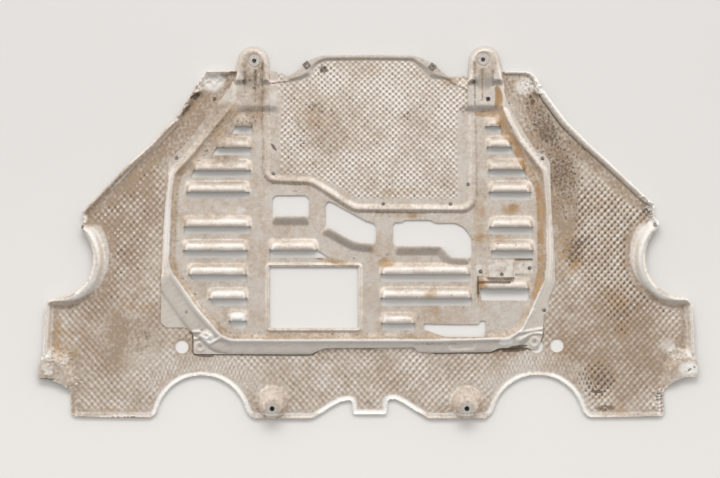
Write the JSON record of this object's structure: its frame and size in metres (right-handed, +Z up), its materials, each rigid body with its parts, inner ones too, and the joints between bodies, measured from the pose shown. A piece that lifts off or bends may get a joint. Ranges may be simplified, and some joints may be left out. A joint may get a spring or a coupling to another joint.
{
  "type": "underbody shield",
  "caption": "Flat car underbody shield: embossed aluminium sheet round a stamped louvred plate with two raised mounting tabs.",
  "frame": {"origin": "on the ground under the middle of the shield, which lies on its road side", "axes": "+X across the car, along the longest extent; +Y towards the edge with the two mounting tabs; +Z up, out of the side that faces the engine"},
  "size_m": [1.126, 0.636, 0.0272],
  "materials": {
    "embossed_sheet": "dull embossed sheet with dust",
    "plain_sheet": "dull stamped sheet with dust and brown stains",
    "embossed_panel": "dull embossed sheet with dust",
    "bracket_sheet": "satin",
    "rivet_steel": "satin",
    "clip_steel": "dark satin",
    "washer_alloy": "satin"
  },
  "bodies": {
    "root": {"outer_shield": "embossed_sheet", "louvre_plate": "plain_sheet", "upper_panel": "embossed_panel", "bracket": "bracket_sheet", "plate_rivets": "rivet_steel", "panel_rivets": "rivet_steel", "bracket_rivets": "rivet_steel", "ear_clips": "clip_steel", "tab_washers": "washer_alloy", "cone_washers": "washer_alloy"}
  },
  "joints": []
}
